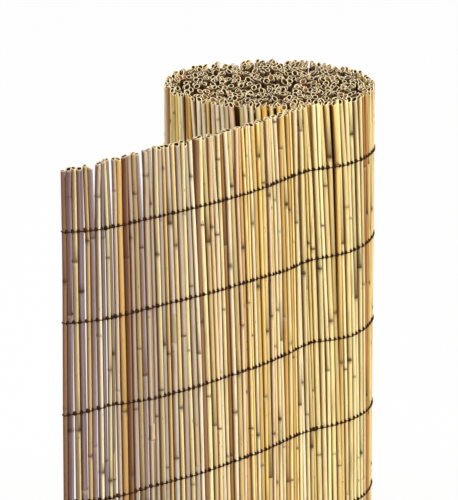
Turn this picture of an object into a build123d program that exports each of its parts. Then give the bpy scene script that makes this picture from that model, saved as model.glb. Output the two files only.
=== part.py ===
from build123d import *
import math
import os

# A reed screen, stood on end and rolled up, with its outer end pulled loose.
# The mat is some seven hundred upright reeds, side by side, bound by rows of wire.
# The roll's axis is the Z axis and the reeds' lower ends stand on z = 0.
# The loose end runs off the front of the roll, towards -X and -Y.
# Lengths are in millimetres and angles in degrees.

# The mat
SCREEN_HEIGHT = 1000.0
SCREEN_LENGTH = 5000.0
REED_DIAMETER = 6.4
REED_GAP = 0.8  # between neighbouring reeds
CREST_WIDTH = 2.4  # the flat along the crown of a ridge
VALLEY_THICKNESS = 1.2  # of the wall between two ridges of the loose end
BACK_DEPTH = 2.0  # from the mat's middle line to its plain inner face, inside the roll

# The roll
CORE_RADIUS = 14.0  # of the mat's middle line at its inner end
TURN_CLEARANCE = 2.0  # left between the wires of two turns
DEPARTURE_ANGLE = -58.0  # where the loose end leaves the roll, from +X
FINE_RADIUS = 60.0  # inside it the hidden inner face takes a facet a reed, outside one for two

# The loose end, bend by bend away from the roll
LIFT_RADIUS = 120.0
LIFT_ANGLE = 26.0
SWEEP_RADIUS = 790.0
SWEEP_ANGLE = 24.0
TIP_RADIUS = 105.0
TIP_ANGLE = 21.0

# The gaps that open between pairs of reeds near the free end. They widen above the top wire.
GAP_COLUMNS = 10
GAP_SPACING = 2  # reeds from one column to the next
GAP_WIDTH = 1.2  # from each wire row to the next
GAP_STOP = 2.0  # how far short of a wire row a gap stops
GAP_MOUTH = 2.0  # width of a gap at the reeds' upper ends
WIDE_COLUMNS = (3, 5, 8)
WIDE_MOUTH = 4.8  # the same, in the wide columns

# The binding wires: one runs down the outer face of the mat, round the end reed
# and back along the inner face of the loose end
WIRE_ROWS = 9
WIRE_MARGIN = 80.0  # from an end of the reeds to the nearest row
WIRE_DIAMETER = 1.2
WIRE_SEAT = 0.05  # clearance between a wire and the crown of a ridge
WIRE_SAG = 0.8  # the most that a straight span of wire cuts inside a bend
WIRE_TUCK = 20.0  # how far short of the nip the two ends of a wire stop

# What follows from them
REED_PITCH = REED_DIAMETER + REED_GAP
REED_COUNT = round(SCREEN_LENGTH / REED_PITCH)
MAT_LENGTH = REED_COUNT * REED_PITCH
CREST = REED_DIAMETER / 2
VALLEY = VALLEY_THICKNESS / 2
ROW_SPACING = (SCREEN_HEIGHT - 2 * WIRE_MARGIN) / (WIRE_ROWS - 1)
ROW_HEIGHTS = [WIRE_MARGIN + row * ROW_SPACING for row in range(WIRE_ROWS)]

# (curvature, length) of each bend away from the roll, positive where the outer face is hollow
LOOSE_BENDS = [
    (1 / LIFT_RADIUS, math.radians(LIFT_ANGLE) * LIFT_RADIUS),
    (-1 / SWEEP_RADIUS, math.radians(SWEEP_ANGLE) * SWEEP_RADIUS),
    (-1 / TIP_RADIUS, math.radians(TIP_ANGLE) * TIP_RADIUS),
]
LOOSE_LENGTH = sum(length for _, length in LOOSE_BENDS)

# The spiral. The nip is where the loose end leaves it, and the outer turn ends under the nip.
TURN_PITCH = REED_DIAMETER + 2 * WIRE_DIAMETER + TURN_CLEARANCE
SPIRAL_RATE = TURN_PITCH / (2 * math.pi)
ROLL_RADIUS = math.sqrt(CORE_RADIUS**2 + 2 * SPIRAL_RATE * (MAT_LENGTH - LOOSE_LENGTH))
OUTER_TURN_END = LOOSE_LENGTH + 2 * math.pi * (ROLL_RADIUS - TURN_PITCH / 2)


def place_on_roll(rolled):
    """Point of the mat's middle line and its heading, that far into the roll from the nip."""
    radius = math.sqrt(ROLL_RADIUS**2 - 2 * SPIRAL_RATE * rolled)
    angle = math.radians(DEPARTURE_ANGLE) + (ROLL_RADIUS - radius) / SPIRAL_RATE
    heading = math.pi / 2 + angle + math.atan(SPIRAL_RATE / radius)
    return radius * math.cos(angle), radius * math.sin(angle), heading


def place_on_mat(along):
    """Point of the mat's middle line and its heading, that far along it from the free end."""
    x, y, heading = place_on_roll(max(along - LOOSE_LENGTH, 0.0))
    left = max(LOOSE_LENGTH - along, 0.0)
    for curvature, length in LOOSE_BENDS:
        step = min(left, length)
        turned = heading + curvature * step
        x -= (math.sin(turned) - math.sin(heading)) / curvature
        y += (math.cos(turned) - math.cos(heading)) / curvature
        heading = turned
        left -= step
    return x - left * math.cos(heading), y - left * math.sin(heading), heading


def beside_mat(along, offset):
    """Point that far along the mat, offset to its outer face, or to its inner one if negative."""
    x, y, heading = place_on_mat(along)
    return x + offset * math.sin(heading), y - offset * math.cos(heading)


def outer_face():
    """Plan of the outer face: flat-crowned ridges where it shows, sharp ones inside the roll."""
    points = [beside_mat(0.0, VALLEY)]
    for reed in range(REED_COUNT):
        middle = (reed + 0.5) * REED_PITCH
        if middle < OUTER_TURN_END:
            points.append(beside_mat(middle - CREST_WIDTH / 2, CREST))
            points.append(beside_mat(middle + CREST_WIDTH / 2, CREST))
        else:
            points.append(beside_mat(middle, CREST))
        points.append(beside_mat(middle + REED_PITCH / 2, VALLEY))
    return points


def inner_face():
    """Plan of the inner face: flat-crowned ridges on the loose end, plain inside the roll."""
    points = [beside_mat(0.0, -VALLEY)]
    for reed in range(REED_COUNT):
        middle = (reed + 0.5) * REED_PITCH
        end = beside_mat(middle + REED_PITCH / 2, -BACK_DEPTH)
        if middle < LOOSE_LENGTH:
            points.append(beside_mat(middle - CREST_WIDTH / 2, -CREST))
            points.append(beside_mat(middle + CREST_WIDTH / 2, -CREST))
            points.append(beside_mat(middle + REED_PITCH / 2, -VALLEY))
        elif reed % 2 or math.hypot(*end) < FINE_RADIUS or reed == REED_COUNT - 1:
            points.append(end)
    return points


def slot(low, high, head_width):
    """Cutter for one gap, through the mat: GAP_WIDTH wide at its foot, head_width at its head."""
    foot, head = GAP_WIDTH / 2, head_width / 2
    outline = Polyline((-foot, low), (foot, low), (head, high), (-head, high), close=True)
    return extrude(Plane.XZ * make_face(outline), amount=REED_DIAMETER, both=True)


def gap_cutters():
    """Slots between neighbouring reeds near the free end, from each wire row to the next."""
    stops = [-2 * GAP_STOP, *ROW_HEIGHTS]
    cutters = []
    for column in range(1, GAP_COLUMNS + 1):
        x, y, heading = place_on_mat(column * GAP_SPACING * REED_PITCH)
        mouth = WIDE_MOUTH if column in WIDE_COLUMNS else GAP_MOUTH
        slots = [slot(low + GAP_STOP, high - GAP_STOP, GAP_WIDTH) for low, high in zip(stops, stops[1:])]
        slots.append(slot(ROW_HEIGHTS[-1] + GAP_STOP, SCREEN_HEIGHT + GAP_STOP, mouth))
        cutters += [Pos(x, y, 0) * Rot(Z=math.degrees(heading)) * cutter for cutter in slots]
    return cutters


def reed_mat():
    """The whole mat as one wall: the roll's spiral of ridges, and the loose end with its gaps."""
    outline = outer_face() + inner_face()[::-1]
    wall = extrude(make_face(Polyline(*outline, close=True)), amount=SCREEN_HEIGHT, dir=(0, 0, 1))
    return wall - gap_cutters()


def wire_spans(side, stop):
    """(along, room) of the ends of a wire's straight spans, from the free end to the stop.

    Side is 1 on the mat's outer face and -1 on its inner one. Room is how far a span
    beside that point cuts inside the crowns, which it does where the face bulges."""
    ends = [(0.0, 0.0)]
    rolled = (-1 / (ROLL_RADIUS - TURN_PITCH), MAT_LENGTH)
    for curvature, length in (*reversed(LOOSE_BENDS), rolled):
        start, room_before = ends[-1]
        length = min(length, stop - start)
        if length > 0:
            spans = math.ceil(length / math.sqrt(8 * WIRE_SAG / abs(curvature)))
            room = max(0.0, -side * curvature * (length / spans) ** 2 / 8)
            ends[-1] = (start, max(room_before, room))
            ends += [(start + length * span / spans, room) for span in range(1, spans + 1)]
    return ends


def wire_line(clear):
    """Plan of a line that follows a wire's path, clear of the crowns by that much."""
    outer = wire_spans(1, OUTER_TURN_END - WIRE_TUCK)
    inner = wire_spans(-1, LOOSE_LENGTH - WIRE_TUCK)
    points = [beside_mat(along, CREST + clear + room) for along, room in reversed(outer)]
    points.append(beside_mat(-clear, CREST + clear))
    points.append(beside_mat(-clear, -CREST - clear))
    points += [beside_mat(along, -CREST - clear - room) for along, room in inner]
    return points


def binding_wire(height):
    """One row's wire, of square section, centred at that height."""
    outline = wire_line(WIRE_SEAT) + wire_line(WIRE_SEAT + WIRE_DIAMETER)[::-1]
    face = make_face(Polyline(*outline, close=True))
    return Pos(0, 0, height - WIRE_DIAMETER / 2) * extrude(face, amount=WIRE_DIAMETER, dir=(0, 0, 1))


os.makedirs("parts", exist_ok=True)
export_step(reed_mat(), "parts/reed_mat.step")
for row, height in enumerate(ROW_HEIGHTS):
    export_step(binding_wire(height), f"parts/binding_wire_{row + 1}.step")
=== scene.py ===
"""The looks of a reed screen: an upright roll of reed mat with its outer end pulled loose.

Every reed is modelled on its own, and so is every wire of the nine binding rows.
Lengths are in metres, and the frame is the CAD model's own.
"""

from __future__ import annotations

import logging
import math
from dataclasses import dataclass, field
from enum import Enum

import bpy
import numpy as np
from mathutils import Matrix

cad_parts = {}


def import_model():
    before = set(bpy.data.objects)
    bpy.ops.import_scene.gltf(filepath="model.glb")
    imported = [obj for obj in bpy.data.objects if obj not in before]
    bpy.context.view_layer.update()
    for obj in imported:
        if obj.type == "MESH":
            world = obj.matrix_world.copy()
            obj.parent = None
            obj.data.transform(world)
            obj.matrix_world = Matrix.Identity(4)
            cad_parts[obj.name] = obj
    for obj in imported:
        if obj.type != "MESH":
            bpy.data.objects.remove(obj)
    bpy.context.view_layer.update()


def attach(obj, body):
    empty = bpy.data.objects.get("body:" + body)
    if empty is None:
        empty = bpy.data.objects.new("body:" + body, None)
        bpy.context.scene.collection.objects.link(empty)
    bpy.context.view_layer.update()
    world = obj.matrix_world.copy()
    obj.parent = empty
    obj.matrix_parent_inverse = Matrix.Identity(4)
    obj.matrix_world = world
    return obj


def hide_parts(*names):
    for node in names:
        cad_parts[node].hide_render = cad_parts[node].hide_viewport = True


log = logging.getLogger("reed_screen")

Colour = tuple[float, float, float]
Point = tuple[float, float, float]
Feed = bpy.types.NodeSocket | float | tuple[float, ...]
MM = 0.001


def linear(red: int, green: int, blue: int) -> Colour:
    """Turns a screen colour into the light values that a shader takes.

    Args:
        red: From 0 to 255, as are the other two.
        green: See red.
        blue: See red.

    Returns:
        The three values, from 0 to 1.
    """
    shares = [value / 255 for value in (red, green, blue)]
    lit = [s / 12.92 if s <= 0.04045 else ((s + 0.055) / 1.055) ** 2.4 for s in shares]
    return lit[0], lit[1], lit[2]


def blend_colours(first: np.ndarray, second: Colour, share: np.ndarray | float) -> np.ndarray:
    """Mixes one colour into another, or into each of many.

    Args:
        first: What it is mixed into.
        second: The colour mixed in.
        share: How much of it they take, from 0 to 1: one number, or an array that spreads over them.

    Returns:
        The mixed colours, laid out as the first were.
    """
    part = np.clip(share, 0.0, 1.0)[..., None]
    return first * (1 - part) + np.array(second) * part


class Place(Enum):
    """Where a reed stands in the mat, which decides how finely it is modelled."""

    LOOSE_END = "loose_end"
    OUTER_TURN = "outer_turn"
    INNER_TURNS = "inner_turns"


@dataclass(frozen=True)
class Bend:
    """One bend of the loose end."""

    radius: float
    angle: float
    hollow_outside: bool

    @property
    def curvature(self) -> float:
        """Turn of the mat per metre, positive where its outer face is hollow."""
        return (1 if self.hollow_outside else -1) / self.radius

    @property
    def length(self) -> float:
        """Length of mat in the bend."""
        return self.radius * math.radians(self.angle)


@dataclass(frozen=True)
class MatPlan:
    """The line of the mat seen from above: a spiral, and a loose end of three bends."""

    height: float = 1.0
    reed_pitch: float = 7.2 * MM
    reed_count: int = 694
    core_radius: float = 14 * MM
    turn_pitch: float = 10.8 * MM
    departure: float = -58.0
    bends: tuple[Bend, ...] = (
        Bend(120 * MM, 26.0, True),
        Bend(790 * MM, 24.0, False),
        Bend(105 * MM, 21.0, False),
    )
    wire_rows: int = 9
    lowest_wire: float = 80 * MM
    wire_spacing: float = 105 * MM

    @property
    def loose_length(self) -> float:
        """Length of mat between the free end and the nip, where it leaves the roll."""
        return sum(bend.length for bend in self.bends)

    @property
    def rate(self) -> float:
        """How much nearer the axis the mat comes for each radian that it winds."""
        return self.turn_pitch / math.tau

    @property
    def nip_radius(self) -> float:
        """Radius of the mat's middle line where the loose end leaves it."""
        rolled = self.reed_count * self.reed_pitch - self.loose_length
        return math.sqrt(self.core_radius**2 + 2 * self.rate * rolled)

    @property
    def outer_turn_end(self) -> float:
        """Length of mat from the free end to where the outer turn runs under the nip."""
        return self.loose_length + math.tau * (self.nip_radius - self.turn_pitch / 2)

    def place(self, along: float) -> tuple[float, float, float]:
        """Finds a point of the mat's middle line.

        Args:
            along: How far it is along the mat from the free end.

        Returns:
            Its x and y, and the heading of the mat there in radians.
        """
        rolled = max(along - self.loose_length, 0.0)
        # The least value keeps the root real for a reed that leans past the mat's inner end.
        radius = math.sqrt(max(self.nip_radius**2 - 2 * self.rate * rolled, 1e-8))
        angle = math.radians(self.departure) + (self.nip_radius - radius) / self.rate
        heading = math.pi / 2 + angle + math.atan(self.rate / radius)
        x, y = radius * math.cos(angle), radius * math.sin(angle)
        left = max(self.loose_length - along, 0.0)
        for bend in self.bends:
            step = min(left, bend.length)
            turned = heading + bend.curvature * step
            x -= (math.sin(turned) - math.sin(heading)) / bend.curvature
            y += (math.cos(turned) - math.cos(heading)) / bend.curvature
            heading = turned
            left -= step
        return x - left * math.cos(heading), y - left * math.sin(heading), heading

    def beside(self, along: float, out: float) -> tuple[float, float]:
        """Finds a point beside the middle line.

        Args:
            along: How far it is along the mat from the free end.
            out: How far it is towards the outer face, or the inner one if negative.

        Returns:
            Its x and y.
        """
        x, y, heading = self.place(along)
        return x + out * math.sin(heading), y - out * math.cos(heading)


@dataclass
class Pile:
    """The vertices, faces and colours of one piece, gathered bit by bit."""

    points: list[np.ndarray] = field(default_factory=list)
    tints: list[np.ndarray] = field(default_factory=list)
    faces: list[tuple[int, ...]] = field(default_factory=list)
    count: int = 0

    def add_tube(self, rings: np.ndarray, tints: np.ndarray) -> None:
        """Adds a skin over a row of closed rings, with a face on the first and the last.

        Args:
            rings: The rings' points, ring by ring.
            tints: The points' colours, laid out as the rings are.
        """
        layers, sides, _ = rings.shape
        start = self.count
        self.points.append(rings.reshape(-1, 3))
        self.tints.append(tints.reshape(-1, 3))
        self.count += layers * sides
        for layer in range(layers - 1):
            low = start + layer * sides
            for side in range(sides):
                after = (side + 1) % sides
                self.faces.append((low + side, low + after, low + sides + after, low + sides + side))
        self.faces.append(tuple(range(start + sides - 1, start - 1, -1)))
        last = start + (layers - 1) * sides
        self.faces.append(tuple(range(last, last + sides)))

    def piece(self, name: str, material: bpy.types.Material, smooth: float) -> bpy.types.Object:
        """Makes the piece from what has been gathered.

        Args:
            name: The piece's name.
            material: The finish that covers it.
            smooth: The sharpest angle, in degrees, that is still shaded smooth.

        Returns:
            The new object, in the scene.
        """
        mesh = bpy.data.meshes.new(name)
        mesh.from_pydata(np.concatenate(self.points).tolist(), [], self.faces)
        tints = np.concatenate(self.tints)
        colours = np.concatenate([tints, np.ones((len(tints), 1))], axis=1)
        # The colour layer holds each stem's own colour with its painted shade and highlights.
        layer = mesh.color_attributes.new("stem_colour_and_light", "FLOAT_COLOR", "POINT")
        layer.data.foreach_set("color", colours.astype(np.float32).ravel())
        mesh.materials.append(material)
        mesh.update()
        mesh.shade_smooth()
        mesh.set_sharp_from_angle(angle=math.radians(smooth))
        piece = bpy.data.objects.new(name, mesh)
        bpy.context.scene.collection.objects.link(piece)
        return piece


@dataclass(frozen=True)
class Wiring:
    """The nodes of one finish, or of the world, and how they are joined."""

    tree: bpy.types.NodeTree

    def fill(self, node: bpy.types.Node, feeds: dict[str | int, Feed]) -> None:
        """Fills a node's sockets.

        Args:
            node: The node.
            feeds: A constant, or another node's socket to link, for each of its own by name or number.
        """
        for name, value in feeds.items():
            if isinstance(value, bpy.types.NodeSocket):
                self.tree.links.new(value, node.inputs[name])
            else:
                node.inputs[name].default_value = value

    def add(self, kind: str, feeds: dict[str | int, Feed] | None = None, **choices: str) -> bpy.types.Node:
        """Adds a node.

        Args:
            kind: The kind of node.
            feeds: What its sockets are filled with.
            choices: What its menus and names are set to.

        Returns:
            The node.
        """
        node = self.tree.nodes.new(kind)
        for name, choice in choices.items():
            setattr(node, name, choice)
        self.fill(node, feeds or {})
        return node

    def grain(self, where: bpy.types.NodeSocket, scale: Point, detail: float) -> bpy.types.NodeSocket:
        """Adds a noise that is stretched along the stems.

        Args:
            where: The socket that gives the place on the piece.
            scale: How fine the noise is along each axis.
            detail: How many finer layers it has.

        Returns:
            The socket that holds its value.
        """
        spread = self.add("ShaderNodeMapping", {"Scale": scale, "Vector": where}).outputs["Vector"]
        noise = self.add("ShaderNodeTexNoise", {"Scale": 1.0, "Detail": detail, "Vector": spread})
        return noise.outputs["Fac"]

    def fade(
        self, value: bpy.types.NodeSocket, low: float, high: float, before: float = 0.0, after: float = 1.0
    ) -> bpy.types.NodeSocket:
        """Adds a smooth step.

        Args:
            value: The socket whose value is stepped.
            low: The value where the step starts.
            high: The value where it ends.
            before: The answer below the step.
            after: The answer above it.

        Returns:
            The socket that holds the answer.
        """
        feeds = {"Value": value, "From Min": low, "From Max": high, "To Min": before, "To Max": after}
        return self.add("ShaderNodeMapRange", feeds, interpolation_type="SMOOTHSTEP").outputs["Result"]

    def times(self, value: bpy.types.NodeSocket, factor: Feed) -> bpy.types.NodeSocket:
        """Multiplies a value by a factor, and gives the socket that holds the answer."""
        return self.add("ShaderNodeMath", {0: value, 1: factor}, operation="MULTIPLY").outputs["Value"]

    def tint(
        self, base: bpy.types.NodeSocket, colour: Colour, share: bpy.types.NodeSocket, most: float
    ) -> bpy.types.NodeSocket:
        """Mixes a colour into another.

        Args:
            base: The socket of the colour that it is mixed into.
            colour: The colour mixed in.
            share: The socket that says how much of it is taken.
            most: How much is taken where that socket is 1.

        Returns:
            The socket that holds the mixed colour.
        """
        mix = self.add("ShaderNodeMix", data_type="RGBA")
        order = [socket.identifier for socket in mix.inputs]
        factor, under, over = (order.index(name) for name in ("Factor_Float", "A_Color", "B_Color"))
        self.fill(mix, {factor: self.times(share, most), under: base, over: (*colour, 1.0)})
        return next(socket for socket in mix.outputs if socket.identifier == "Result_Color")

    def seen(self) -> bpy.types.NodeSocket:
        """Adds nodes that are 1 where a surface is seen, straight or in a reflection.

        Returns:
            The socket that holds the answer.
        """
        rays = self.add("ShaderNodeLightPath").outputs
        answer = rays["Is Camera Ray"]
        for other in ("Is Glossy Ray", "Is Transmission Ray"):
            either = self.add("ShaderNodeMath", {0: answer, 1: rays[other]}, operation="MAXIMUM")
            answer = either.outputs["Value"]
        return answer


@dataclass(frozen=True)
class ReedFinish:
    """Dried reed: a dull skin with fine fibres, stains and specks of mildew."""

    name: str = "dried_reed"
    stain: Colour = linear(118, 78, 34)
    mildew: Colour = linear(70, 52, 38)
    fibre_scale: Point = (1500.0, 1500.0, 9.0)
    stain_scale: Point = (120.0, 120.0, 14.0)
    speck_scale: Point = (420.0, 420.0, 150.0)
    # The noise's values between which each kind of mark comes up, and how strong it then is.
    fibre_span: tuple[float, float] = (0.42, 0.72)
    stain_span: tuple[float, float] = (0.55, 0.78)
    speck_span: tuple[float, float] = (0.69, 0.76)
    fibre_depth: float = 0.32
    stain_depth: float = 0.42
    speck_depth: float = 0.6
    roughness_low: float = 0.4
    roughness_high: float = 0.66
    bump_strength: float = 0.25
    bump_height: float = 0.2 * MM
    shine: float = 0.2

    def material(self) -> bpy.types.Material:
        """Builds the finish's nodes.

        Returns:
            The material.
        """
        material = bpy.data.materials.new(self.name)
        material.use_nodes = True
        wiring = Wiring(material.node_tree)
        where = wiring.add("ShaderNodeTexCoord").outputs["Object"]
        # Each stem's colour with its painted shade and highlights, from the colour layer.
        stem = wiring.add("ShaderNodeAttribute", attribute_name="stem_colour_and_light").outputs["Color"]
        fibres = wiring.grain(where, self.fibre_scale, 3.0)
        stains = wiring.grain(where, self.stain_scale, 4.0)
        specks = wiring.grain(where, self.speck_scale, 2.0)
        fibred = wiring.tint(stem, self.stain, wiring.fade(fibres, *self.fibre_span), self.fibre_depth)
        stained = wiring.tint(fibred, self.stain, wiring.fade(stains, *self.stain_span), self.stain_depth)
        specked = wiring.tint(stained, self.mildew, wiring.fade(specks, *self.speck_span), self.speck_depth)
        ends = {"To Min": self.roughness_low, "To Max": self.roughness_high}
        rough = wiring.add("ShaderNodeMapRange", {"Value": fibres, **ends})
        depth = {"Strength": self.bump_strength, "Distance": self.bump_height}
        bump = wiring.add("ShaderNodeBump", {"Height": fibres, **depth})
        skin = {
            "Base Color": specked,
            "Roughness": rough.outputs["Result"],
            "Normal": bump.outputs["Normal"],
            "Specular IOR Level": self.shine,
        }
        wiring.fill(material.node_tree.nodes["Principled BSDF"], skin)
        return material


@dataclass(frozen=True)
class WireFinish:
    """Annealed wire, dark brown and a little rusty."""

    name: str = "annealed_wire"
    dark: Colour = linear(40, 20, 8)
    rust: Colour = linear(84, 46, 18)
    dark_below: float = 0.45
    rust_above: float = 0.8
    patch_scale: float = 260.0
    roughness_low: float = 0.6
    roughness_high: float = 0.85
    metal: float = 0.1
    shine: float = 0.12

    def material(self) -> bpy.types.Material:
        """Builds the finish's nodes.

        Returns:
            The material.
        """
        material = bpy.data.materials.new(self.name)
        material.use_nodes = True
        wiring = Wiring(material.node_tree)
        where = wiring.add("ShaderNodeTexCoord").outputs["Object"]
        feeds = {"Vector": where, "Scale": self.patch_scale, "Detail": 3.0}
        patches = wiring.add("ShaderNodeTexNoise", feeds).outputs["Fac"]
        ramp = wiring.add("ShaderNodeValToRGB", {"Fac": patches})
        steps = ((self.dark_below, self.dark), (self.rust_above, self.rust))
        for element, (position, colour) in zip(ramp.color_ramp.elements, steps):
            element.position = position
            element.color = (*colour, 1.0)
        ends = {"To Min": self.roughness_low, "To Max": self.roughness_high}
        rough = wiring.add("ShaderNodeMapRange", {"Value": patches, **ends})
        skin = {
            "Base Color": ramp.outputs["Color"],
            "Roughness": rough.outputs["Result"],
            "Metallic": self.metal,
            "Specular IOR Level": self.shine,
        }
        wiring.fill(material.node_tree.nodes["Principled BSDF"], skin)
        return material


class Stem(Enum):
    """The colours that dried reeds come in, each with how common it is."""

    CREAM = (linear(255, 244, 204), 7.0)
    PALE_YELLOW = (linear(255, 240, 176), 6.0)
    STRAW = (linear(252, 230, 158), 5.0)
    HONEY = (linear(238, 205, 122), 3.4)
    GOLD_BROWN = (linear(210, 169, 88), 2.0)
    TAN = (linear(234, 205, 150), 2.0)
    OLIVE = (linear(206, 182, 104), 1.4)
    ORANGE = (linear(228, 184, 114), 0.4)
    ROSE = (linear(244, 216, 180), 0.9)
    BROWN = (linear(168, 120, 66), 1.2)
    GREY = (linear(228, 208, 174), 0.5)


@dataclass(frozen=True)
class Marks:
    """The colours laid over a stem's own, on its skin, at its joints and in its cut ends; several are
    painted shade or a painted highlight, as the notes beside them say.
    """

    # Painted shade on stems that stand set back in the mat.
    set_back: Colour = linear(98, 66, 32)
    # Lilac grey near the free end: partly grey wear, partly painted cool shade, strongest on set-back
    # stems.
    dull: Colour = linear(126, 111, 122)
    # Brown streaks; the first streak on each stem is painted shade on its outer side towards the free end.
    brown: Colour = linear(148, 98, 34)
    soil: Colour = linear(66, 42, 26)
    # Painted bluish highlight on set-back stems at the free end.
    bluish_highlight: Colour = linear(226, 226, 240)
    # Painted shade in the seams where neighbouring stems meet.
    seam: Colour = linear(128, 76, 18)
    # Painted shade on the side of a stem that faces the free end.
    side_shade: Colour = linear(108, 92, 100)
    # Painted shade on stems inside the roll, below their tops.
    roll_shade: Colour = linear(66, 37, 15)
    bloom: Colour = linear(236, 224, 196)
    scar: Colour = linear(76, 44, 24)
    stain: Colour = linear(84, 48, 26)
    bud: Colour = linear(44, 22, 12)
    rim: Colour = linear(255, 240, 198)
    plug: Colour = linear(164, 118, 68)
    hollow: Colour = linear(56, 32, 14)
    sheath: Colour = linear(196, 162, 108)
    # Painted shade in the seams of a leaf sheath.
    sheath_seam_shade: Colour = linear(74, 42, 10)


@dataclass
class Reed:
    """One stem of the mat.

    Out is how far it stands out of the mat's middle line. Its top moves by spread along the mat
    and by step out of it, and lean slants the whole stem along the mat."""

    along: float
    radius: float
    foot: float
    top: float
    place: Place
    rng: np.random.Generator
    out: float = 0.0
    spread: float = 0.0
    step: float = 0.0
    lean: float = 0.0
    # How much of the free end's wear, painted shade and painted highlights the stem takes, from 0 to 1.
    wear_and_shade: float = 0.0
    set_back: bool = False
    # Painted light: what the stem's colour is multiplied by for its place in the mat.
    painted_light: float = 1.0
    brightest: float = 0.95
    # How strong the painted shade in the seams is.
    seam_shade_depth: float = 0.85
    sheath_chance: float = 0.06
    marks: Marks = Marks()
    squash: float = 0.0
    turn: float = 0.0
    wall: float = 0.9 * MM
    colour: np.ndarray = field(default_factory=lambda: np.zeros(3))
    joints: np.ndarray = field(default_factory=lambda: np.zeros(0))
    kinks: np.ndarray = field(default_factory=lambda: np.zeros((2, 2)))
    streaks: list[tuple[float, float, float, Colour]] = field(default_factory=list)

    def grow(self) -> None:
        """Settles everything about the stem that differs from its neighbours."""
        rng, marks = self.rng, self.marks
        weights = np.array([stem.value[1] for stem in Stem])
        pick = rng.choice(len(weights), p=weights / weights.sum())
        self.colour = np.array(list(Stem)[pick].value[0]) * rng.uniform(0.86, 1.1) * self.painted_light
        # Painted shade: a stem set back behind its neighbours is darkened towards brown, more at the free
        # end.
        shade = (0.34 if self.place is Place.LOOSE_END else 0.28) + 0.26 * self.wear_and_shade
        self.colour = blend_colours(self.colour, marks.set_back, shade * self.set_back)
        # Lilac grey towards the free end: partly grey wear, partly painted cool shade, strongest on
        # set-back stems.
        dulled_and_shaded = (rng.choice((0.25, 0.88), p=(0.4, 0.6)) if self.set_back else 0.1) * self.wear_and_shade
        self.colour = blend_colours(self.colour, marks.dull, dulled_and_shaded)
        self.colour *= min(1.0, self.brightest / self.colour.max())
        gap = rng.uniform(0.13, 0.26)
        first = self.foot + rng.uniform(0.02, gap)
        self.joints = np.arange(first, self.top - 0.015, gap) + rng.uniform(-0.01, 0.01)
        self.kinks = rng.normal(0.0, 1.0, (2, len(self.joints) + 2))
        self.squash = rng.uniform(-0.09, 0.09)
        self.turn = rng.uniform(0.0, math.tau)
        self.wall = min(0.38 * self.radius, rng.uniform(0.9, 1.25) * MM)
        # Painted shade: the first streak darkens each stem's outer side towards the free end; the other
        # brown streaks lie at random.
        shade_side_depth = rng.uniform(0.05, 0.4) + 0.45 * self.wear_and_shade
        self.streaks.append((rng.normal(2.6, 0.3), rng.uniform(0.5, 1.0), shade_side_depth, marks.brown))
        for _ in range(rng.integers(0, 3)):
            side = rng.uniform(0, math.tau)
            self.streaks.append((side, rng.uniform(0.25, 0.5), rng.uniform(0.25, 0.75), marks.brown))
        for _ in range(rng.integers(1, 4) if self.wear_and_shade > 0.4 else 0):
            face = rng.choice((0.5, 1.5)) * math.pi + rng.normal(0, 0.6)
            self.streaks.append((face, rng.uniform(0.3, 0.7), rng.uniform(0.5, 0.95), marks.soil))
        # Painted highlight: a bluish white streak on a set-back stem at the free end.
        if self.set_back and self.wear_and_shade > 0.4:
            side = rng.uniform(0.9, 2.2)
            self.streaks.append((side, rng.uniform(0.25, 0.5), rng.uniform(0.4, 0.9), marks.bluish_highlight))

    def heights(self) -> np.ndarray:
        """Finds the heights of the rings of the stem's skin, closest at its joints and its top.

        Returns:
            The heights, from the foot.
        """
        if self.place is Place.INNER_TURNS:
            return self.top - np.array([self.top - self.foot, 40 * MM, 10 * MM, 1 * MM, 0.0])
        plain = np.linspace(self.foot, self.top, 24 if self.place is Place.LOOSE_END else 13)
        marks = [self.joints + d * MM for d in (-7.0, -2.2, -0.7, 0.5, 1.6, 4.5)]
        marks.append(np.array([self.top - 10 * MM, self.top - 2 * MM]))
        close = np.concatenate(marks)
        close = close[close < self.top - 1 * MM]
        far = [z for z in plain if z in (plain[0], plain[-1]) or np.abs(close - z).min() > 4 * MM]
        return np.sort(np.concatenate([close, far]))

    def line(self, plan: MatPlan, heights: np.ndarray) -> tuple[np.ndarray, np.ndarray]:
        """Finds the stem's middle line.

        Args:
            plan: The line of the mat.
            heights: The heights of its points.

        Returns:
            The points, one line each, and the mat's heading at each of them.
        """
        asides = self.aside(plan, heights)
        outs = self.outward(plan, heights)
        points = np.zeros((len(heights), 3))
        headings = np.zeros(len(heights))
        for index, height in enumerate(heights):
            x, y, heading = plan.place(self.along + asides[index])
            out = outs[index]
            points[index] = (x + out * math.sin(heading), y - out * math.cos(heading), height)
            headings[index] = heading
        return points, headings

    def sway(self, which: int, heights: np.ndarray) -> np.ndarray:
        """Finds how far the stem's own crookedness takes it from a straight line.

        Args:
            which: 0 along the mat, 1 out of it.
            heights: The heights asked about.

        Returns:
            The distance at each height.
        """
        knots = np.concatenate([[self.foot], self.joints, [self.top]])
        most = 1.0 if self.place is Place.INNER_TURNS else 0.55
        return np.interp(heights, knots, self.kinks[which]) * most * MM

    def aside(self, plan: MatPlan, heights: np.ndarray) -> np.ndarray:
        """Finds how far along the mat the stem stands from its own place.

        Args:
            plan: The line of the mat.
            heights: The heights asked about.

        Returns:
            The distance at each height.
        """
        splay = np.clip((heights - 0.92 * plan.height) / (0.08 * plan.height), 0.0, 1.0)
        slant = 0.7 - 1.7 * (heights / plan.height) ** 2.2
        return self.sway(0, heights) + self.spread * splay + self.lean * slant

    def outward(self, plan: MatPlan, heights: np.ndarray) -> np.ndarray:
        """Finds how far out of the mat's middle line the stem stands at each height."""
        splay = np.clip((heights - 0.90 * plan.height) / (0.10 * plan.height), 0.0, 1.0)
        return self.out + 0.7 * self.sway(1, heights) + self.step * splay

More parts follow.
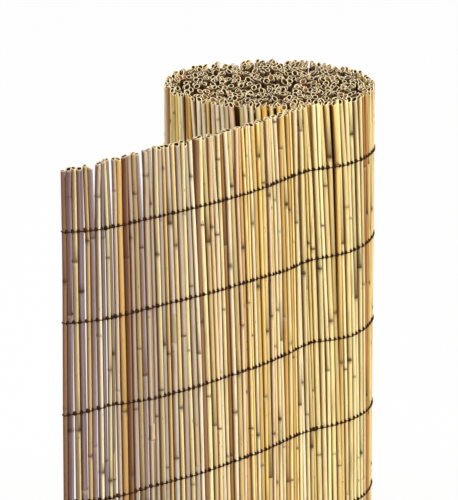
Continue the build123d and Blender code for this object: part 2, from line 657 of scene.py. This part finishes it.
    def swell(self, heights: np.ndarray) -> np.ndarray:
        """Finds the stem's radius, which tapers upwards and swells at the joints.

        Args:
            heights: The heights asked about.

        Returns:
            The radius at each height.
        """
        share = (heights - self.foot) / (self.top - self.foot)
        radius = self.radius * (1.03 - 0.09 * share)
        for joint in self.joints:
            radius = radius * (1 + 0.09 * np.exp(-(((heights - joint) / (1.5 * MM)) ** 2)))
        return radius

    def tints(self, heights: np.ndarray, angles: np.ndarray) -> np.ndarray:
        """Works out the colours of the stem's skin, with painted shade in its seams, on its side towards
        the free end and inside the roll.

        Args:
            heights: The heights of its rings.
            angles: The angles of the points round each ring.

        Returns:
            The colours, ring by ring.
        """
        rng, marks = self.rng, self.marks
        base = np.tile(self.colour, (len(heights), len(angles), 1))
        drift = np.interp(heights, np.linspace(self.foot, self.top, 7), rng.normal(0, 0.1, 7))
        base = base * (1 + drift)[:, None, None]
        for centre, breadth, depth, colour in self.streaks:
            off = np.abs((angles - centre + math.pi) % math.tau - math.pi)
            band = depth * np.clip((breadth - off) / 0.3, 0.0, 1.0)
            fade = np.interp(heights, np.linspace(self.foot, self.top, 6), rng.uniform(0.3, 1.0, 6))
            base = blend_colours(base, colour, fade[:, None] * band[None, :])
        # Painted shade: each stem's sides, where it meets its neighbours, are darkened towards brown.
        seam = np.clip((np.abs(np.cos(angles)) - 0.58) / 0.34, 0.0, 1.0)
        base = blend_colours(base, marks.seam, self.seam_shade_depth * seam)
        # Painted shade on the side of each stem that faces the free end, strongest on set-back stems.
        if self.wear_and_shade > 0:
            side_shade = np.clip(0.1 - 1.1 * np.cos(angles), 0.0, 0.7 if self.set_back else 0.4) * self.wear_and_shade
            base = blend_colours(base, marks.side_shade, side_shade)
        # Painted shade: inside the roll each stem is darkened from just below its top downwards, where the
        # turns shade one another.
        if self.place is Place.INNER_TURNS:
            depth = np.interp(heights, (self.top - 5 * MM, self.top - 1 * MM, self.top), (0.98, 0.92, 0.5))
            base = blend_colours(base, marks.roll_shade, depth[:, None])
        for joint in self.joints:
            base = self.mark_joint(base, (joint - heights) / MM, angles)
        return base

    def mark_joint(self, base: np.ndarray, below: np.ndarray, angles: np.ndarray) -> np.ndarray:
        """Lays the marks of one joint over the skin: a bloom, a scar, and on some a stain and a bud.

        Args:
            base: The skin's colours, ring by ring.
            below: How many millimetres each ring is below the joint.
            angles: The angles of the points round each ring.

        Returns:
            The colours with the marks on them.
        """
        rng, marks = self.rng, self.marks
        bloom = np.exp(-(((below - 3.2) / 3.0) ** 2)) * rng.uniform(0.0, 0.35)
        base = blend_colours(base, marks.bloom, bloom[:, None])
        scar = np.exp(-((below / 1.5) ** 2)) * rng.uniform(0.3, 1.0)
        base = blend_colours(base, marks.scar, scar[:, None])
        if rng.random() < 0.25:
            above = np.clip(1 + below / rng.uniform(15, 60), 0.0, 1.0) * (below < 1.0)
            facing = np.clip(1.2 * np.cos(angles - rng.uniform(0.3, 2.8)), 0.0, 1.0)
            stain = above[:, None] * facing[None, :]
            base = blend_colours(base, marks.stain, stain * rng.uniform(0.4, 0.85))
        if rng.random() < 0.6:
            side = rng.uniform(0.1, math.pi - 0.1) if rng.random() < 0.7 else rng.uniform(0, math.tau)
            close = np.exp(-(((below + 1.0) / 4.2) ** 2))
            facing = np.clip(np.cos(angles - side), 0, 1) ** 2
            bud = close[:, None] * facing[None, :]
            base = blend_colours(base, marks.bud, bud * rng.uniform(0.7, 1.0))
        return base

    @staticmethod
    def ring_round(
        middle: np.ndarray, heading: float, reach: np.ndarray, angles: np.ndarray, lift: np.ndarray | float
    ) -> np.ndarray:
        """Places the points of a ring round the stem's middle line.

        Args:
            middle: The point of the middle line.
            heading: The mat's heading there.
            reach: How far each point is from the middle line.
            angles: The points' angles: 0 is along the mat and a quarter turn is out of it.
            lift: How far they are raised.

        Returns:
            The points, one line each.
        """
        aside, out = reach * np.cos(angles), reach * np.sin(angles)
        x = middle[0] + aside * math.cos(heading) + out * math.sin(heading)
        y = middle[1] + aside * math.sin(heading) - out * math.cos(heading)
        z = np.zeros(len(angles)) + (middle[2] + lift)
        return np.stack([x, y, z], axis=1)

    def build(self, plan: MatPlan, pile: Pile) -> None:
        """Adds the stem's skin, its cut ends and its hollow to a pile.

        Args:
            plan: The line of the mat.
            pile: The pile that the stem goes on.
        """
        rng, marks = self.rng, self.marks
        sides = 9 if self.place is Place.INNER_TURNS else 16
        angles = np.linspace(0, math.tau, sides, endpoint=False)
        heights = self.heights()
        points, headings = self.line(plan, heights)
        radius = self.swell(heights)
        slope_top = rng.uniform(0.1, 0.4) if self.place is Place.LOOSE_END else rng.uniform(0.2, 0.75)
        front = math.atan2(-math.cos(headings[-1]), math.sin(headings[-1]))
        lean_top = front + rng.normal(0, 0.9)
        slope_foot = rng.uniform(0.0, 0.2)
        wide = 1 + self.squash * np.cos(2 * (angles - self.turn))

        def ring(layer: int, scale: float, lift: float = 0.0) -> np.ndarray:
            """Places one ring of the skin, scaled and lifted."""
            reach = radius[layer] * scale * wide
            return self.ring_round(points[layer], headings[layer], reach, angles, lift)

        def cut(rim: np.ndarray, slope: float, lean: float, up: float) -> np.ndarray:
            """Tilts a ring at an end of the stem, without passing that end's height."""
            rim[:, 2] += slope * self.radius * (np.cos(angles - lean) - 1.0) * up
            return rim

        last = len(heights) - 1
        hollow = 1 - self.wall / self.radius
        depth_top, depth_foot = rng.uniform(9, 22) * MM, rng.uniform(6, 12) * MM
        top_lip = cut(ring(last, 1.0), slope_top, lean_top, 1.0)
        foot_lip = cut(ring(0, 1.0), slope_foot, lean_top, -1.0)
        rings = [
            ring(0, hollow * 0.9, depth_foot),
            cut(ring(0, hollow * 0.98, 0.9 * MM), slope_foot, lean_top, -1.0),
            cut(ring(0, hollow), slope_foot, lean_top, -1.0),
            foot_lip,
            *[ring(layer, 1.0) for layer in range(1, last - 1)],
            cut(ring(last - 1, 1.0), slope_top, lean_top, 1.0),
            top_lip,
            cut(ring(last, hollow), slope_top, lean_top, 1.0),
            cut(ring(last, hollow * 0.98, -0.7 * MM), slope_top, lean_top, 1.0),
            ring(last, hollow * 0.9, -depth_top),
        ]
        skin = self.tints(heights, angles)
        rim = np.tile(self.colour * 0.1 + np.array(marks.rim) * 0.88, (1, sides, 1))
        plugged = rng.random() < 0.3
        pith = np.tile(np.array(marks.plug if plugged else marks.hollow), (1, sides, 1))
        skin[-1] = 0.5 * skin[-1] + 0.5 * rim[0]
        # The innermost ring of each hollow takes half the pith's colour: painted shade deeper in the hole.
        # The foot's rim is darker than the top's.
        tints = np.concatenate([pith * 0.5, pith, rim * 0.8, skin, rim, pith, pith * 0.5])
        pile.add_tube(np.stack(rings), tints)
        if self.place is not Place.INNER_TURNS and len(self.joints):
            self.sheathe(plan, pile)

    def sheathe(self, plan: MatPlan, pile: Pile) -> None:
        """Adds the papery remains of leaf sheaths above some of the joints.

        Args:
            plan: The line of the mat.
            pile: The pile that they go on.
        """
        rng = self.rng
        flares = (0.12, 0.16, 0.18, 0.2, 0.3)
        for joint in self.joints:
            if rng.random() > self.sheath_chance:
                continue
            length = rng.uniform(0.02, 0.07)
            if joint + length > self.top - 5 * MM:
                continue
            heights = np.linspace(joint, joint + length, len(flares))
            points, headings = self.line(plan, heights)
            radius = self.swell(heights)
            start, spread = rng.uniform(0, math.tau), rng.uniform(2.6, 5.2)
            angles = np.linspace(start, start + spread, 9)
            ragged = rng.uniform(-0.25, 0.0, 9) * length
            rings = []
            for layer, flare in enumerate(flares):
                reach = radius[layer] + flare * MM
                lift = ragged * (layer / (len(flares) - 1)) ** 2
                rings.append(self.ring_round(points[layer], headings[layer], reach, angles, lift))
            outer = np.stack(rings)
            middle = points[:, None, :2]
            inner = outer.copy()
            inner[:, :, :2] = middle + (outer[:, :, :2] - middle) * (1 - 0.1 * MM / self.radius)
            loop = np.concatenate([outer, inner[:, ::-1]], axis=1)
            paper = np.array(self.marks.sheath) * rng.uniform(0.7, 1.1)
            tints = np.tile(0.5 * paper + 0.5 * self.colour, (*loop.shape[:2], 1))
            round_loop = np.concatenate([angles, angles[::-1]])
            # Painted shade in the sheath's seams, as on the stem.
            seam = np.clip((np.abs(np.cos(round_loop)) - 0.5) / 0.36, 0.0, 1.0)
            pile.add_tube(loop, blend_colours(tints, self.marks.sheath_seam_shade, self.seam_shade_depth * seam))


@dataclass
class ReedMat:
    """All the reeds of the mat, in the order that they are bound."""

    plan: MatPlan
    finish: ReedFinish = field(default_factory=ReedFinish)
    seed: int = 41
    mean_radius: float = 3.3 * MM
    radius_spread: float = 0.52 * MM
    thinnest: float = 2.3 * MM
    thickest: float = 4.1 * MM
    inner_scale: float = 1.12
    set_back_scale: float = 1.1
    set_back_scale_on_roll: float = 0.95
    end_margin: float = 0.4 * MM
    gap: float = 0.2 * MM
    gap_columns: int = 10
    gap_spacing: int = 2
    slit: float = 0.25 * MM
    # The reed after each of the widest gaps, and how many millimetres wide the gap is at the top.
    open_gaps: tuple[tuple[int, float], ...] = (
        (4, 2.2),
        (6, 5.6),
        (10, 6.2),
        (12, 3.6),
        (16, 7.6),
        (18, 3.2),
    )
    most_drop: float = 20 * MM
    end_drop: float = 8.0 * MM
    end_length: float = 0.13
    lean: float = 17.0 * MM
    lean_length: float = 0.22
    face_room: float = 3.9 * MM
    wave_step: float = 0.045
    wave_reach: float = 6.0
    set_back_share: float = 0.85
    set_back_share_on_roll: float = 0.16
    fade_length: float = 0.18
    on_floor_every: int = 9
    full_height_every: int = 29
    # Painted light: how much the reeds' colours are brightened, least at the free end, most where the loose
    # end shades the outer turn.
    end_light: float = 0.92
    light_gain: float = 0.36
    light_length: float = 0.24
    full_light: float = 1.4
    full_light_from: float = 0.9
    reeds: list[Reed] = field(default_factory=list)

    def sort(self) -> None:
        """Chooses the reeds and stands them side by side down the mat."""
        rng = np.random.default_rng(self.seed)
        plan = self.plan
        count = plan.reed_count
        radii = rng.normal(self.mean_radius, self.radius_spread, count)
        radii = np.clip(radii, self.thinnest, self.thickest)
        room = 2 * radii + self.gap
        gapped = self.gap_columns * self.gap_spacing
        room[self.gap_spacing - 1 : gapped : self.gap_spacing] += self.slit
        middles = np.cumsum(room) - room + radii + self.end_margin
        middles *= count * plan.reed_pitch / (middles[-1] + radii[-1])
        spread, step = self.splay(count)
        posts = np.arange(0, self.wave_reach, self.wave_step)
        wave = np.interp(middles, posts, rng.normal(0, 1.0, len(posts)))
        for index, along in enumerate(middles):
            place = self.place_of(along)
            inner, loose = place is Place.INNER_TURNS, place is Place.LOOSE_END
            radius = radii[index] * (self.inner_scale if inner else 1.0)
            drop = abs(rng.normal(0, 4.5 if inner else 2.2)) * MM
            drop += self.end_drop * max(0.0, 1.0 - along / self.end_length)
            out = (self.mean_radius - radius) * 0.8 + rng.normal(0, 0.3) * MM
            if inner:
                out = rng.normal(0, 0.8) * MM + wave[index] * 1.1 * MM
            share = self.set_back_share * (index % 2) if loose else self.set_back_share_on_roll
            set_back = not inner and rng.random() < share
            if set_back:
                radius *= self.set_back_scale if loose else self.set_back_scale_on_roll
                out -= rng.uniform(0.9, 1.5) * MM
            out = min(out, self.face_room - 1.1 * radius)
            stray = rng.normal(0, 1.0 if loose else 1.6) * MM
            # Scales how much wear and painted shade a stem at the free end takes.
            wear_and_shade_scale = rng.uniform(0.6, 1.1)
            foot = abs(rng.normal(0, 1.2)) * MM if index % self.on_floor_every else 0.0
            if not inner and index >= 3:
                spread[index] += rng.normal(0, 0.3 if index <= gapped else 0.8) * MM
            if not inner:
                step[index] += rng.normal(0, 0.5) * MM
            full_height = (index + 1) % self.full_height_every == 0
            reed = Reed(
                along=along,
                radius=radius,
                foot=foot,
                top=plan.height - (0.0 if full_height else min(drop, self.most_drop)),
                place=place,
                rng=np.random.default_rng([self.seed, index]),
                out=out,
                spread=spread[index],
                step=step[index],
                lean=self.lean * min(along / self.lean_length, 1.0) + (stray if index > gapped else 0.0),
                wear_and_shade=min(1.0, wear_and_shade_scale * max(0.0, 1.4 - along / self.fade_length)) if loose else 0.0,
                set_back=set_back,
                painted_light=self.painted_light_for(along, inner),
            )
            reed.grow()
            self.reeds.append(reed)

    def splay(self, count: int) -> tuple[np.ndarray, np.ndarray]:
        """Finds how the reeds' tops part, widest where the gaps open. Widths here are in millimetres.

        Args:
            count: How many reeds there are.

        Returns:
            How far each top moves along the mat, and how far out of it.
        """
        spread, step = np.zeros(count), np.zeros(count)
        rng = np.random.default_rng([self.seed, count])
        widths = {column * self.gap_spacing: 0.9 for column in range(1, self.gap_columns + 1)}
        widths.update(self.open_gaps)
        for reed, width in widths.items():
            if width > 1.5:
                for near in (reed - 2, reed, reed - 3):
                    step[near] += 0.9 * MM * (1 if near % 2 else -1)
        reed = self.gap_columns * self.gap_spacing + 3
        while reed * self.plan.reed_pitch < self.plan.outer_turn_end:
            widths[reed] = rng.uniform(1.0, 3.8)
            step[reed - 2] -= 0.9 * MM
            step[reed + 1] -= 0.9 * MM
            reed += int(rng.integers(4, 10))
        for reed, width in widths.items():
            for reach, share in enumerate((0.5, 0.3, 0.12)):
                before = reed - 1 - reach
                if before >= 0:
                    spread[before] -= width * share * MM
                spread[reed + reach] += width * share * MM
        return spread, step

    def painted_light_for(self, along: float, inner: bool) -> float:
        """Finds how much painted light brightens a reed for its place: least at the free end, most on the
        part of the outer turn that the loose end shades.

        Args:
            along: How far it is along the mat from the free end.
            inner: Whether it is inside the roll.

        Returns:
            What its colour is multiplied by.
        """
        if inner:
            return 1.0
        if along > self.full_light_from:
            return self.full_light
        return self.end_light + self.light_gain * min(along / self.light_length, 1.0)

    def place_of(self, along: float) -> Place:
        """Says where in the mat a reed stands.

        Args:
            along: How far it is along the mat from the free end.

        Returns:
            Its place.
        """
        if along < self.plan.loose_length:
            return Place.LOOSE_END
        return Place.OUTER_TURN if along < self.plan.outer_turn_end + 0.01 else Place.INNER_TURNS

    def build(self) -> None:
        """Builds the mat as one piece for each place that reeds stand."""
        material = self.finish.material()
        for place in Place:
            pile = Pile()
            for reed in self.reeds:
                if reed.place is place:
                    reed.build(self.plan, pile)
            piece = pile.piece(f"reeds_{place.value}", material, 50.0)
            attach(piece, "root")
            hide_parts("reed_mat")
            report(piece)


@dataclass(frozen=True)
class Crossings:
    """Where one row of wire crosses the reeds, reed by reed from the free end.

    Reach is the reed's radius at the row, and drift is how far the row strays from level there."""

    along: np.ndarray
    out: np.ndarray
    reach: np.ndarray
    drift: np.ndarray


@dataclass
class BindingRow:
    """One row of binding wire: a strand before the reeds and one behind, twisted between them."""

    number: int
    height: float
    mat: ReedMat
    strand: float = 1.2 * MM
    sag: float = 0.5 * MM
    room: float = 4.6 * MM
    sides: int = 5
    face_angles: tuple[int, ...] = (-62, -36, -12, 12, 36, 62)
    end_angles: tuple[int, ...] = (60, 20, -20, -60)
    drift_every: int = 8
    tint: float = 0.1
    seed: int = 7

    def build(self, material: bpy.types.Material) -> None:
        """Builds the row.

        Args:
            material: The wire's finish.
        """
        rng = np.random.default_rng([self.seed, self.number])
        shown = [reed for reed in self.mat.reeds if reed.place is not Place.INNER_TURNS]
        loose = sum(reed.place is Place.LOOSE_END for reed in shown)
        at = self.cross(shown, rng)
        front = self.strand_line(at, 1, len(shown))
        back = self.strand_line(at, -1, loose - 2)
        pile = Pile()
        self.add_strand(pile, np.concatenate([front[::-1], self.turn_round(at), back]))
        for index in range(len(shown) - 1):
            self.add_twist(pile, at, index, rng)
        piece = pile.piece(f"wire_row_{self.number}", material, 60.0)
        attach(piece, "root")
        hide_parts(f"binding_wire_{self.number}")
        report(piece)

    def cross(self, shown: list[Reed], rng: np.random.Generator) -> Crossings:
        """Finds where the row crosses the reeds.

        Args:
            shown: The reeds that it binds, from the free end.
            rng: The row's random numbers.

        Returns:
            The crossings.
        """
        here = np.array([self.height])
        plan = self.mat.plan
        posts = np.arange(0, len(shown) + self.drift_every, self.drift_every)
        return Crossings(
            along=np.array([reed.along + reed.aside(plan, here)[0] for reed in shown]),
            out=np.array([reed.outward(plan, here)[0] for reed in shown]),
            reach=np.array([reed.swell(here)[0] for reed in shown]),
            drift=np.interp(np.arange(len(shown)), posts, rng.normal(0, 1.3, len(posts)) * MM),
        )

    def strand_line(self, at: Crossings, side: int, count: int) -> np.ndarray:
        """Finds the line of the strand on one face of the mat.

        Args:
            at: Where the row crosses the reeds.
            side: 1 for the outer face and -1 for the inner.
            count: How many reeds from the free end the strand crosses.

        Returns:
            Its points, from the free end.
        """
        points = []
        most = self.room - self.strand / 2
        for index in range(count):
            clear = at.reach[index] + self.strand / 2
            for turn in np.radians(self.face_angles):
                along = at.along[index] + clear * math.sin(turn)
                out = at.out[index] + side * clear * math.cos(turn)
                x, y = self.mat.plan.beside(along, min(max(out, -most), most))
                fall = self.sag * math.cos(turn * 1.3) - side * 0.25 * MM * math.sin(turn)
                points.append((x, y, self.height + at.drift[index] - fall))
        return np.array(points)

    def turn_round(self, at: Crossings) -> np.ndarray:
        """Finds the strand's points where it turns round the reed at the free end.

        Args:
            at: Where the row crosses the reeds.

        Returns:
            The points, from the outer face to the inner.
        """
        points = []
        clear = at.reach[0] + self.strand / 2
        for turn in np.radians(self.end_angles):
            along = at.along[0] - clear * math.cos(turn)
            x, y = self.mat.plan.beside(along, at.out[0] + clear * math.sin(turn))
            points.append((x, y, self.height + at.drift[0]))
        return np.array(points)

    def add_strand(self, pile: Pile, line: np.ndarray) -> None:
        """Adds a round strand that follows a line to a pile.

        Args:
            pile: The pile that it goes on.
            line: Its points.
        """
        ahead = np.gradient(line, axis=0)
        ahead /= np.linalg.norm(ahead, axis=1)[:, None]
        across = np.cross(ahead, np.array([0.0, 0.0, 1.0]))
        across /= np.linalg.norm(across, axis=1)[:, None]
        rise = np.cross(across, ahead)
        angles = np.linspace(0, math.tau, self.sides, endpoint=False)
        sideways = np.cos(angles)[None, :, None] * across[:, None, :]
        upwards = np.sin(angles)[None, :, None] * rise[:, None, :]
        rings = line[:, None, :] + self.strand / 2 * (sideways + upwards)
        pile.add_tube(rings, np.full_like(rings, self.tint))

    def add_twist(self, pile: Pile, at: Crossings, index: int, rng: np.random.Generator) -> None:
        """Adds the twist that closes the row between a reed and the next.

        Args:
            pile: The pile that it goes on.
            at: Where the row crosses the reeds.
            index: The reed before the twist.
            rng: The row's random numbers.
        """
        low = at.along[index] + at.reach[index]
        high = at.along[index + 1] - at.reach[index + 1]
        size = rng.uniform(2.3, 3.2) * MM
        length = 1.1 * size
        out = (at.out[index] + at.out[index + 1]) / 2 + 0.7 * min(at.reach[index], at.reach[index + 1])
        out = min(out, self.room - length)
        x, y, heading = self.mat.plan.place((low + high) / 2)
        ahead = np.array([math.cos(heading), math.sin(heading), 0.0])
        outward = np.array([math.sin(heading), -math.cos(heading), 0.0])
        middle = np.array([x, y, self.height + (at.drift[index] + at.drift[index + 1]) / 2]) + outward * out
        slant = rng.uniform(0.3, 1.0) * (1 if index % 2 else -1)
        lie = ahead * math.cos(slant) + np.array([0.0, 0.0, math.sin(slant)])
        stand = np.array([0.0, 0.0, math.cos(slant)]) - ahead * math.sin(slant)
        angles = np.linspace(0, math.tau, 6, endpoint=False)
        rings = []
        for step, width in ((-1.0, 0.4), (-0.5, 0.9), (0.0, 1.0), (0.5, 0.95), (1.0, 0.5)):
            flat = np.cos(angles)[:, None] * lie[None, :] * size * width * 0.9
            tall = np.sin(angles)[:, None] * stand[None, :] * size * width
            rings.append(middle[None, :] + outward[None, :] * step * length + flat + tall)
        twist = np.stack(rings)
        pile.add_tube(twist, np.full_like(twist, self.tint))


@dataclass(frozen=True)
class Lamp:
    """A square soft lamp: its name, where it is, its width, its watts and its colour."""

    name: str
    at: Point
    size: float
    power: float
    colour: Colour

    def add(self, target: Point) -> None:
        """Adds the lamp to the scene.

        Args:
            target: The point that it shines at.
        """
        data = bpy.data.lights.new(self.name, "AREA")
        data.size = self.size
        data.energy = self.power
        data.color = self.colour
        lamp = bpy.data.objects.new(self.name, data)
        lamp.location = self.at
        aim = np.array(target) - np.array(self.at)
        level = math.hypot(aim[0], aim[1])
        lamp.rotation_euler = (math.atan2(level, -aim[2]), 0.0, math.atan2(-aim[0], aim[1]))
        bpy.context.scene.collection.objects.link(lamp)


@dataclass(frozen=True)
class Studio:
    """A pale floor, soft lamps and the camera of the photograph."""

    camera_at: Point = (-0.0452, -4.9627, 2.1172)
    camera_down: float = 14.95
    pixels_per_radian: float = 4285.0
    image_width: float = 458.0
    sensor: float = 36.0
    lamps: tuple[Lamp, ...] = (
        Lamp("key_lamp", (4.0, -2.2, 2.9), 1.1, 165.0, (1.0, 0.97, 0.92)),
        Lamp("fill_lamp", (-2.6, -4.2, 2.2), 1.6, 80.0, (0.97, 0.97, 1.0)),
        Lamp("back_lamp", (-1.6, 3.6, 2.4), 1.8, 60.0, (1.0, 0.98, 0.95)),
        Lamp("top_lamp", (0.2, -0.8, 4.4), 1.6, 92.0, (1.0, 0.97, 0.93)),
    )
    lit_point: Point = (-0.03, -0.15, 0.7)
    room_colour: Colour = (1.0, 0.96, 0.9)
    room_strength: float = 0.2
    white: Colour = (1.0, 1.0, 1.0)
    floor_reach: float = 60.0
    floor_paint: Colour = (0.8, 0.8, 0.8)
    # How white the floor looks within the near distance of the roll's axis, and past the far one.
    near: float = 0.8
    far: float = 1.8
    near_white: float = 0.72
    far_white: float = 0.98

    def build(self) -> None:
        """Builds the camera, the lamps, the world and the floor."""
        self.add_camera()
        for lamp in self.lamps:
            lamp.add(self.lit_point)
        self.add_world()
        self.add_floor()

    def add_camera(self) -> None:
        """Adds the camera, level from side to side and tilted down."""
        data = bpy.data.cameras.new("camera")
        data.sensor_fit = "HORIZONTAL"
        data.sensor_width = self.sensor
        data.lens = self.pixels_per_radian * self.sensor / self.image_width
        data.clip_end = 200.0
        camera = bpy.data.objects.new("camera", data)
        camera.location = self.camera_at
        camera.rotation_euler = (math.radians(90 - self.camera_down), 0.0, 0.0)
        bpy.context.scene.collection.objects.link(camera)
        bpy.context.scene.camera = camera

    def add_world(self) -> None:
        """Adds soft light from all round, with white behind it."""
        world = bpy.data.worlds.new("soft_room")
        world.use_nodes = True
        world.node_tree.nodes.clear()
        wiring = Wiring(world.node_tree)
        soft = {"Color": (*self.room_colour, 1.0), "Strength": self.room_strength}
        room = wiring.add("ShaderNodeBackground", soft).outputs["Background"]
        full = {"Color": (*self.white, 1.0), "Strength": 1.0}
        white = wiring.add("ShaderNodeBackground", full).outputs["Background"]
        mix = wiring.add("ShaderNodeMixShader", {"Fac": wiring.seen(), 1: room, 2: white})
        wiring.add("ShaderNodeOutputWorld", {"Surface": mix.outputs["Shader"]})
        bpy.context.scene.world = world

    def add_floor(self) -> None:
        """Adds a wide pale floor under the reeds' feet, which keeps the screen's shadow."""
        mesh = bpy.data.meshes.new("floor")
        half = self.floor_reach
        corners = [(-half, -half, 0), (half, -half, 0), (half, half, 0), (-half, half, 0)]
        mesh.from_pydata(corners, [], [(0, 1, 2, 3)])
        material = bpy.data.materials.new("pale_floor")
        material.use_nodes = True
        material.node_tree.nodes.clear()
        wiring = Wiring(material.node_tree)
        paint = wiring.add("ShaderNodeBsdfDiffuse", {"Color": (*self.floor_paint, 1.0)}).outputs["BSDF"]
        full = {"Color": (*self.white, 1.0), "Strength": 1.0}
        white = wiring.add("ShaderNodeEmission", full).outputs["Emission"]
        where = wiring.add("ShaderNodeTexCoord").outputs["Object"]
        reach = wiring.add("ShaderNodeVectorMath", {0: where}, operation="LENGTH").outputs["Value"]
        fade = wiring.fade(reach, self.near, self.far, self.near_white, self.far_white)
        share = wiring.times(wiring.seen(), fade)
        mix = wiring.add("ShaderNodeMixShader", {"Fac": share, 1: paint, 2: white})
        wiring.add("ShaderNodeOutputMaterial", {"Surface": mix.outputs["Shader"]})
        mesh.materials.append(material)
        floor = bpy.data.objects.new("floor", mesh)
        bpy.context.scene.collection.objects.link(floor)


def report(piece: bpy.types.Object) -> None:
    """Logs a piece's name and how many triangles it has."""
    triangles = sum(len(face.vertices) - 2 for face in piece.data.polygons)
    log.info("%s: %d triangles", piece.name, triangles)


def main() -> None:
    """Builds the screen on its frame and lights it."""
    logging.basicConfig(level=logging.INFO, format="%(message)s")
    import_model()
    bpy.context.scene.view_settings.view_transform = "Standard"
    plan = MatPlan()
    mat = ReedMat(plan)
    mat.sort()
    mat.build()
    wire = WireFinish().material()
    for row in range(plan.wire_rows):
        BindingRow(row + 1, plan.lowest_wire + row * plan.wire_spacing, mat).build(wire)
    Studio().build()


if __name__ == "__main__":
    main()
